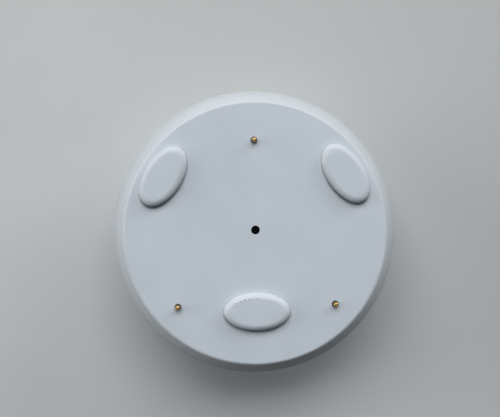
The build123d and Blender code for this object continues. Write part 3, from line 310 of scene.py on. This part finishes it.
def add_traces(mat, top):
    """Copper tracks and tinned vias on a board's upper face; below, the board is dull and painted near
    black as painted shade.
    """
    tree = mat.node_tree
    x, y, z = object_axes(tree)
    upper = mapped(tree, z, top - 2 * TOP_FACE_DEPTH, top - TOP_FACE_DEPTH)
    blotches = grain(tree, TRACKS_X_PER_METRE, detail=1.0)
    other_blotches = grain(tree, TRACKS_Y_PER_METRE, detail=1.0, stretch=(1, 1, 3))
    patches = mapped(tree, blotches, TRACKS_X_START, TRACKS_X_START + PATCH_FADE)
    other_patches = mapped(tree, other_blotches, TRACKS_Y_START, TRACKS_Y_START + PATCH_FADE, 1.0, 0.0)
    along_x = product(tree, tracks_across(tree, y, TRACK_PITCH_Y), patches)
    along_y = product(tree, tracks_across(tree, x, TRACK_PITCH_X), other_patches)
    recolour(mat, product(tree, calc(tree, "MAXIMUM", along_x, along_y), upper), TRACK)
    coords = tree.nodes.new("ShaderNodeTexCoord")
    cells = tree.nodes.new("ShaderNodeTexVoronoi")
    cells.inputs["Scale"].default_value = VIAS_PER_METRE
    tree.links.new(coords.outputs["Object"], cells.inputs["Vector"])
    vias = mapped(tree, cells.outputs["Distance"], VIA_CORE, VIA_EDGE, 1.0, 0.0)
    recolour(mat, product(tree, vias, patches, upper), TINNED)
    # Painted shade: the board's underside is painted near black, so that it looks dark through the
    # fixing hole.
    recolour(mat, inverse(tree, upper), BOARD_UNDERSIDE_PAINTED_SHADE)
    shader = tree.nodes["Principled BSDF"]
    tree.links.new(product(tree, upper, BOARD_COAT), shader.inputs["Coat Weight"])
    specular = mapped(tree, upper, 0.0, 1.0, UNDERSIDE_SPECULAR, TOP_SPECULAR)
    tree.links.new(specular, shader.inputs["Specular IOR Level"])


# The cell's sleeve and the light guide

SLEEVE_BAND = (0.62, 0.63, 0.64)
BAND_INSET = 0.0041
BAND_WIDTH = 0.0042
BAND_FADE = 0.00005


def add_band(mat):
    """A paler band round the cell near its positive end."""
    tree = mat.node_tree
    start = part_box("battery_sleeve")[0].x + BAND_INSET
    x = object_axes(tree)["X"]
    recolour(mat, between(tree, x, start, start + BAND_WIDTH, BAND_FADE), SLEEVE_BAND)


def clear_plastic():
    """The light guide: clear plastic with a faintly frosted skin."""
    mat = finish_material("clear_plastic", (0.82, 0.86, 0.88), 0.22, vary=0.02, bump=0.03)
    shader = mat.node_tree.nodes["Principled BSDF"]
    shader.inputs["Transmission Weight"].default_value = 0.5
    shader.inputs["IOR"].default_value = 1.49
    return mat


# A finish for each material slot of the record, and one more for the feet

mats = {
    "casing": casing_material("casing_plastic"),
    "feet": casing_material("foot_plastic"),
    "clear": clear_plastic(),
    "rubber": finish_material("black_rubber", (0.022, 0.022, 0.024), 0.7, vary=0.2, bump=0.1,
                              bump_scale=3000),
    "board": finish_material("solder_mask_green", (0.012, 0.13, 0.05), 0.35, vary=0.12, mottle=300,
                             coat=BOARD_COAT),
    "radio_board": finish_material("solder_mask_blue", (0.012, 0.05, 0.16), 0.35, vary=0.12,
                                   mottle=300, coat=BOARD_COAT),
    "steel": finish_material("plated_steel", (0.60, 0.61, 0.62), 0.28, 1.0, vary=0.06, mottle=500),
    "nickel": finish_material("nickel_sheet", (0.66, 0.64, 0.60), 0.32, 1.0, vary=0.06, mottle=600,
                              stretch=(1, 8, 1)),
    "gold": finish_material("gold_plate", (0.31, 0.20, 0.080), 0.14, 1.0, vary=0.12, mottle=900,
                            bump=0.03),
    "barrel": finish_material("brass_barrel", (0.72, 0.55, 0.27), 0.35, 1.0, vary=0.08, mottle=700),
    "copper": finish_material("copper_wire", (0.70, 0.36, 0.20), 0.3, 1.0, vary=0.1, mottle=700),
    "aluminium": finish_material("drawn_aluminium", (0.70, 0.71, 0.72), 0.3, 1.0, vary=0.05,
                                 mottle=500, stretch=(1, 1, 6)),
    "sleeve": finish_material("shrink_sleeve", (0.03, 0.16, 0.42), 0.22, vary=0.06, mottle=60,
                              coat=0.5),
    "black_plastic": finish_material("black_moulded", (0.018, 0.018, 0.02), 0.5, vary=0.15,
                                     bump=0.08),
    "green_plastic": finish_material("green_moulded", (0.03, 0.24, 0.08), 0.45, vary=0.08,
                                     bump=0.06),
    "button": finish_material("grey_moulded", (0.42, 0.43, 0.45), 0.45, vary=0.05, bump=0.05),
    "chip": finish_material("chip_package", (0.02, 0.02, 0.022), 0.6, vary=0.2, bump=0.1,
                            bump_scale=6000),
    "chip_parts": finish_material("chip_parts", (0.16, 0.10, 0.06), 0.45, vary=0.25, mottle=350),
    "indicator": finish_material("indicator_lens", (0.75, 0.75, 0.62), 0.3, vary=0.05, coat=0.3),
}
add_painted_shade(mats["feet"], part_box("foot_back")[0].z)
add_scuffs(mats["feet"], "foot_back")
add_painted_pin_shade(mats["gold"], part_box("probe_pin_1")[0].z)
add_traces(mats["board"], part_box("circuit_board")[1].z)
add_traces(mats["radio_board"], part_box("radio_board")[1].z)
add_band(mats["sleeve"])

# Smooth shading and a finish for every CAD node

SMOOTH_ANGLE = radians(40)
WELD_DISTANCE = 2e-6


def smoothing_group():
    """Geometry nodes that shade a mesh smooth, except across its sharp edges."""
    tree = bpy.data.node_groups.new("smooth_but_sharp_edges", "GeometryNodeTree")
    tree.interface.new_socket("Geometry", in_out="INPUT", socket_type="NodeSocketGeometry")
    tree.interface.new_socket("Geometry", in_out="OUTPUT", socket_type="NodeSocketGeometry")
    start = tree.nodes.new("NodeGroupInput")
    end = tree.nodes.new("NodeGroupOutput")
    faces = tree.nodes.new("GeometryNodeSetShadeSmooth")
    faces.domain = "FACE"
    edges = tree.nodes.new("GeometryNodeSetShadeSmooth")
    edges.domain = "EDGE"
    edges.inputs["Shade Smooth"].default_value = False
    bend = tree.nodes.new("GeometryNodeInputMeshEdgeAngle")
    sharp = tree.nodes.new("FunctionNodeCompare")
    sharp.operation = "GREATER_THAN"
    sharp.inputs["B"].default_value = SMOOTH_ANGLE
    tree.links.new(start.outputs[0], faces.inputs["Geometry"])
    tree.links.new(faces.outputs["Geometry"], edges.inputs["Geometry"])
    tree.links.new(bend.outputs["Unsigned Angle"], sharp.inputs["A"])
    tree.links.new(sharp.outputs["Result"], edges.inputs["Selection"])
    tree.links.new(edges.outputs["Geometry"], end.inputs[0])
    return tree


def soften(obj, group):
    """Joins the mesh's split corners, then shades it smooth with its large faces kept flat."""
    weld = obj.modifiers.new("weld", "WELD")
    weld.merge_threshold = WELD_DISTANCE
    shade = obj.modifiers.new("smooth", "NODES")
    shade.node_group = group
    weights = obj.modifiers.new("weights", "WEIGHTED_NORMAL")
    weights.keep_sharp = True
    weights.weight = 80


slots = {entry["node"]: entry["material_slot"] for entry in frame["record"]["subparts"]}
smoothing = smoothing_group()
for name, obj in nodes.items():
    obj.data.materials.clear()
    obj.data.materials.append(mats["feet" if name.startswith("foot_") else slots[name]])
    soften(obj, smoothing)

# Tools for the small fittings on the board

SAME_PLACE = 1e-7
FITTING_SHARP_ANGLE = radians(50)


def solid_boxes(name):
    """The box of each separate solid in a CAD node, as (lowest corner, highest corner).

    Vertices at one place, and those that an edge joins, belong to one solid.
    """
    mesh = nodes[name].data
    group = list(range(len(mesh.vertices)))

    def root(i):
        while group[i] != i:
            i = group[i]
        return i

    first_there = {}
    for v in mesh.vertices:
        key = tuple(round(c / SAME_PLACE) for c in v.co)
        group[v.index] = root(first_there.setdefault(key, v.index))
    for edge in mesh.edges:
        a, b = (root(i) for i in edge.vertices)
        group[a] = b
    corners = {}
    for v in mesh.vertices:
        corners.setdefault(root(v.index), []).append(v.co)
    return [(Vector(map(min, zip(*points))), Vector(map(max, zip(*points))))
            for points in corners.values()]


def add_block(bm, lo, hi, bevel):
    """A block between two corners, with its edges eased."""
    lo, hi = Vector(lo), Vector(hi)
    size = Matrix.Diagonal((*(hi - lo), 1))
    made = bmesh.ops.create_cube(bm, matrix=Matrix.Translation((lo + hi) / 2) @ size)
    edges = list({edge for v in made["verts"] for edge in v.link_edges})
    bmesh.ops.bevel(bm, geom=edges, offset=bevel, segments=2, affect="EDGES", profile=0.5)


def add_solder(bm, place, radius, height, neck_share=0.35, rings=5, sides=20):
    """A small cone of solder, wide at the board and drawn up round a lead."""
    rows = []
    for k in range(rings + 1):
        rise = k / rings
        r = radius * (neck_share + (1 - neck_share) * (1 - rise) ** 2)
        turns = [2 * pi * i / sides for i in range(sides)]
        rows.append([bm.verts.new(place + Vector((r * cos(t), r * sin(t), height * rise)))
                     for t in turns])
    for low, high in zip(rows, rows[1:]):
        for i in range(sides):
            after = (i + 1) % sides
            bm.faces.new((low[i], low[after], high[after], high[i]))
    bm.faces.new(rows[-1])
    bm.faces.new(list(reversed(rows[0])))


def fitting(name, bm, slot, body="base"):
    """A piece made of bm, with the finish of a material slot, that rides on a body."""
    mesh = bpy.data.meshes.new(name)
    bm.to_mesh(mesh)
    bm.free()
    mesh.materials.append(mats[slot])
    mesh.shade_smooth()
    mesh.set_sharp_from_angle(angle=FITTING_SHARP_ANGLE)
    obj = bpy.data.objects.new(name, mesh)
    scene.collection.objects.link(obj)
    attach(obj, body)


# How far a metal cap or leg stands proud of the body that it wraps

SKIN = 0.00003

# The tinned ends of the chip parts

CAP_LENGTH = 0.0004
CAP_BEVEL = 0.00004


def chip_part_ends():
    """A tinned cap at both ends of every chip part."""
    bm = bmesh.new()
    for lo, hi in solid_boxes("chip_parts"):
        for x0, x1 in ((lo.x - SKIN, lo.x + CAP_LENGTH), (hi.x - CAP_LENGTH, hi.x + SKIN)):
            add_block(bm, (x0, lo.y - SKIN, lo.z), (x1, hi.y + SKIN, hi.z + SKIN), CAP_BEVEL)
    fitting("chip_part_ends", bm, "steel")


# The legs of the controller

CONTROLLER_LEGS = 8
CONTROLLER_LEG_PITCH = 0.00065
CONTROLLER_LEG_HALF_WIDTH = 0.00013
CONTROLLER_FOOT_LENGTH = 0.0006
CONTROLLER_FOOT_HEIGHT = 0.00012
CONTROLLER_SHOULDER_LENGTH = 0.00018
CONTROLLER_SHOULDER_HEIGHT = 0.00045
CONTROLLER_LEG_BEVEL = 0.00002


def controller_legs():
    """A row of legs along all four sides: each a flat foot with a raised shoulder."""
    bm = bmesh.new()
    lo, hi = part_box("controller_chip")
    mid = (lo + hi) / 2
    steps = ((CONTROLLER_FOOT_LENGTH, CONTROLLER_FOOT_HEIGHT),
             (CONTROLLER_SHOULDER_LENGTH, CONTROLLER_SHOULDER_HEIGHT))
    for i in range(CONTROLLER_LEGS):
        along = (i - (CONTROLLER_LEGS - 1) / 2) * CONTROLLER_LEG_PITCH
        for side in (-1, 1):
            for axis in (0, 1):
                edge = (hi if side > 0 else lo)[axis]
                for length, height in steps:
                    low = [c + along - CONTROLLER_LEG_HALF_WIDTH for c in mid.xy] + [lo.z]
                    high = [c + along + CONTROLLER_LEG_HALF_WIDTH for c in mid.xy] + [lo.z + height]
                    low[axis], high[axis] = sorted((edge, edge + side * length))
                    add_block(bm, low, high, CONTROLLER_LEG_BEVEL)
    fitting("controller_legs", bm, "steel")


# The legs of the temperature sensor

SENSOR_LEG_PITCH = 0.00095
SENSOR_LEG_HALF_WIDTH = 0.00018
SENSOR_LEG_LENGTH = 0.0005
SENSOR_LEG_HEIGHT = 0.0003
LEG_BEVEL = 0.00003


def sensor_legs():
    """Three legs along both long sides of the temperature sensor."""
    bm = bmesh.new()
    lo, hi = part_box("temperature_sensor")
    for i in (-1, 0, 1):
        x = (lo.x + hi.x) / 2 + i * SENSOR_LEG_PITCH
        for y0, y1 in ((lo.y - SENSOR_LEG_LENGTH, lo.y), (hi.y, hi.y + SENSOR_LEG_LENGTH)):
            add_block(bm, (x - SENSOR_LEG_HALF_WIDTH, y0, lo.z),
                      (x + SENSOR_LEG_HALF_WIDTH, y1, lo.z + SENSOR_LEG_HEIGHT), LEG_BEVEL)
    fitting("sensor_legs", bm, "steel")


# The legs and the tab of the regulator

REGULATOR_LEG_PITCH = 0.0022
REGULATOR_LEG_HALF_WIDTH = 0.00035
REGULATOR_TAB_HALF_WIDTH = 0.0015
REGULATOR_LEG_LENGTH = 0.0011
REGULATOR_LEG_HEIGHT = 0.0003


def regulator_legs():
    """Tinned skins on the regulator's three legs at one side and on its tab at the other."""
    bm = bmesh.new()
    lo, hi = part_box("voltage_regulator")
    middle = (lo.y + hi.y) / 2
    top = lo.z + REGULATOR_LEG_HEIGHT + SKIN
    leg_span = (hi.x - REGULATOR_LEG_LENGTH, hi.x + SKIN)
    tab_span = (lo.x - SKIN, lo.x + REGULATOR_LEG_LENGTH)
    strips = [(leg_span, middle + i * REGULATOR_LEG_PITCH, REGULATOR_LEG_HALF_WIDTH)
              for i in (-1, 0, 1)]
    strips.append((tab_span, middle, REGULATOR_TAB_HALF_WIDTH))
    for (x0, x1), y, half_width in strips:
        add_block(bm, (x0, y - half_width - SKIN, lo.z), (x1, y + half_width + SKIN, top), LEG_BEVEL)
    fitting("regulator_legs", bm, "steel")


# The solder at the antenna's ends

SOLDER_RADIUS = 0.0009
SOLDER_HEIGHT = 0.0006
WIRE_REACH = 0.001
FOOT_REACH = 0.0001


def antenna_solder():
    """A cone of solder where each end of the antenna's wire meets the board."""
    bm = bmesh.new()
    board_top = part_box("circuit_board")[1].z
    corners = [v.co for v in nodes["antenna_coil"].data.vertices if v.co.z < board_top + FOOT_REACH]
    for pick in (min, max):
        end = pick(c.x for c in corners)
        near = [c for c in corners if abs(c.x - end) < WIRE_REACH]
        x = sum(c.x for c in near) / len(near)
        y = sum(c.y for c in near) / len(near)
        add_solder(bm, Vector((x, y, board_top)), SOLDER_RADIUS, SOLDER_HEIGHT)
    fitting("antenna_solder", bm, "steel")


chip_part_ends()
controller_legs()
sensor_legs()
regulator_legs()
antenna_solder()

# Each probe spring that the record lists as deforming gets a mesh of its own

for joint in frame["record"]["behaviour"]["joints"]:
    for entry in joint.get("deforming_nodes", []):
        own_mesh(nodes[entry["node"]])

# The floor: a pale plane behind the cover seen from below, and one under the feet seen from above

FLOOR_BEHIND = (0.545, 0.565, 0.57)
FLOOR_ABOVE = (0.72, 0.72, 0.72)
BOUNCE_SHARE = 0.25
BOUNCE_FULL_RADIUS = 0.10
BOUNCE_END_RADIUS = 0.45
# How much darker, and over what width, the floor behind is painted towards +X as painted shade.
PAINTED_SHADE_SIDE_SHARE = 0.84
PAINTED_SHADE_SIDE_REACH = 0.08
FLOOR_GAP = 0.0005
FLOOR_DROP = 0.00005
FLOOR_HALF_SIZE = 3.0


def fading_bounce(tree, path):
    """1 for light that bounces off the floor near the middle, 0 far out and for shadow rays."""
    x, y, _ = object_axes(tree)
    square = calc(tree, "ADD", product(tree, x, x), product(tree, y, y))
    near = mapped(tree, calc(tree, "SQRT", square), BOUNCE_FULL_RADIUS, BOUNCE_END_RADIUS, 1.0, 0.0)
    return product(tree, near, inverse(tree, path.outputs["Is Shadow Ray"]))


def one_sided(name, colour, bounce):
    """A pale matt plane that camera rays see only from its front, and that may bounce some light; a
    bouncing plane is painted darker towards +X as painted shade.
    """
    mat = finish_material(name, colour, 0.9, vary=0.02, mottle=30, bump=0.0)
    tree = mat.node_tree
    clear = tree.nodes.new("ShaderNodeBsdfTransparent")
    path = tree.nodes.new("ShaderNodeLightPath")
    side = tree.nodes.new("ShaderNodeNewGeometry")
    camera_ray = path.outputs["Is Camera Ray"]
    shown = camera_ray
    if bounce:
        shown = calc(tree, "MAXIMUM", fading_bounce(tree, path), camera_ray)
        # Painted shade: the plane grows darker towards +X.
        across = mapped(tree, object_axes(tree)["X"], -PAINTED_SHADE_SIDE_REACH, PAINTED_SHADE_SIDE_REACH)
        recolour(mat, across, [c * PAINTED_SHADE_SIDE_SHARE for c in colour])
        recolour(mat, inverse(tree, camera_ray), [c * bounce for c in colour])
    front = calc(tree, "SUBTRACT", 1.0, side.outputs["Backfacing"])
    mix = tree.nodes.new("ShaderNodeMixShader")
    tree.links.new(product(tree, front, shown), mix.inputs[0])
    tree.links.new(clear.outputs[0], mix.inputs[1])
    tree.links.new(tree.nodes["Principled BSDF"].outputs[0], mix.inputs[2])
    tree.links.new(mix.outputs[0], tree.nodes["Material Output"].inputs["Surface"])
    return mat


def plane(name, z, up, material):
    """A level square plane at a height, its front upwards or downwards."""
    half = FLOOR_HALF_SIZE
    corners = [(-half, -half, z), (half, -half, z), (half, half, z), (-half, half, z)]
    if not up:
        corners.reverse()
    mesh = bpy.data.meshes.new(name)
    mesh.from_pydata(corners, [], [(0, 1, 2, 3)])
    mesh.materials.append(material)
    obj = bpy.data.objects.new(name, mesh)
    scene.collection.objects.link(obj)
    return obj


cover_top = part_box("cover_shell")[1].z
plane("floor_above", -FLOOR_DROP, True, one_sided("floor_pale", FLOOR_ABOVE, 0.0))
ceiling = plane("floor_behind", cover_top + FLOOR_GAP, False,
                one_sided("floor_white", FLOOR_BEHIND, BOUNCE_SHARE))
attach(ceiling, "cover")

# Soft lamps: most of the light comes from below and from the front


def area(name, place, aim, size, power):
    """A soft lamp of a width and a height that looks at a point."""
    data = bpy.data.lights.new(name, "AREA")
    data.shape = "RECTANGLE"
    data.size, data.size_y = size
    data.energy = power
    obj = bpy.data.objects.new(name, data)
    obj.location = place
    obj.rotation_mode = "QUATERNION"
    obj.rotation_quaternion = (Vector(aim) - Vector(place)).to_track_quat("-Z", "Y")
    obj.visible_camera = False
    scene.collection.objects.link(obj)
    return obj


SOLE_MIDDLE = (0, 0, 0)
UPPER_MIDDLE = (0, 0, 0.02)
area("key_below", place=(-0.19, -1.55, -1.90), aim=SOLE_MIDDLE, size=(2.5, 1.6), power=54.5)
area("side_below_left", place=(-0.98, -0.26, -0.27), aim=SOLE_MIDDLE, size=(0.7, 0.5), power=5.0)
area("side_below_right", place=(0.74, -0.70, -0.29), aim=SOLE_MIDDLE, size=(0.7, 0.5), power=5.5)
key_above = area("key_above", place=(0.16, 0.18, 0.92), aim=UPPER_MIDDLE, size=(0.3, 0.3), power=3.6)
key_above.visible_glossy = False
area("front_above", place=(0.0, 0.0, 0.95), aim=UPPER_MIDDLE, size=(0.06, 0.06), power=2.2)

# The surroundings: dim below, brighter above, and pale to camera, glossy and transmission rays

DIM_BELOW = (0.025, 0.026, 0.028)
BRIGHT_ABOVE = (0.50, 0.51, 0.52)
BACKDROP = (0.62, 0.63, 0.64)
HORIZON_SOFTNESS = 0.2

world = bpy.data.worlds.new("studio")
scene.world = world
world.use_nodes = True
tree = world.node_tree
path = tree.nodes.new("ShaderNodeLightPath")
direction = tree.nodes.new("ShaderNodeTexCoord")
parts = tree.nodes.new("ShaderNodeSeparateXYZ")
tree.links.new(direction.outputs["Generated"], parts.inputs[0])
height = mapped(tree, parts.outputs["Z"], -HORIZON_SOFTNESS, HORIZON_SOFTNESS)
sky = blend_colours(tree, height, DIM_BELOW, BRIGHT_ABOVE)
seen = calc(tree, "MAXIMUM", path.outputs["Is Camera Ray"], path.outputs["Is Glossy Ray"])
seen = calc(tree, "MAXIMUM", seen, path.outputs["Is Transmission Ray"])
tree.links.new(blend_colours(tree, seen, sky, BACKDROP), tree.nodes["Background"].inputs["Color"])

# The camera looks up at the underside, from a place fitted to points measured in the photograph

LENS_MM = 63.73
SENSOR_MM = 36.0
PLACE = Vector((-0.00818, -0.00697, -0.216))
TURN_Y, TURN_X, ROLL = 0.0317, 0.0043, -0.0177
across = Vector((cos(TURN_Y), 0, -sin(TURN_Y)))
ahead = Vector((sin(TURN_Y), 0, cos(TURN_Y)))
down = Vector((0, cos(TURN_X), 0)) - ahead * sin(TURN_X)
forward = Vector((0, sin(TURN_X), 0)) + ahead * cos(TURN_X)
right = across * cos(ROLL) - down * sin(ROLL)
low = across * sin(ROLL) + down * cos(ROLL)
camera_data = bpy.data.cameras.new("camera")
camera_data.lens = LENS_MM
camera_data.sensor_width = SENSOR_MM
camera_data.clip_start = 0.01
camera_data.clip_end = 20.0
camera = bpy.data.objects.new("camera", camera_data)
columns = Matrix((right, -low, -forward)).transposed().to_4x4()
camera.matrix_world = Matrix.Translation(PLACE) @ columns
scene.collection.objects.link(camera)
scene.camera = camera
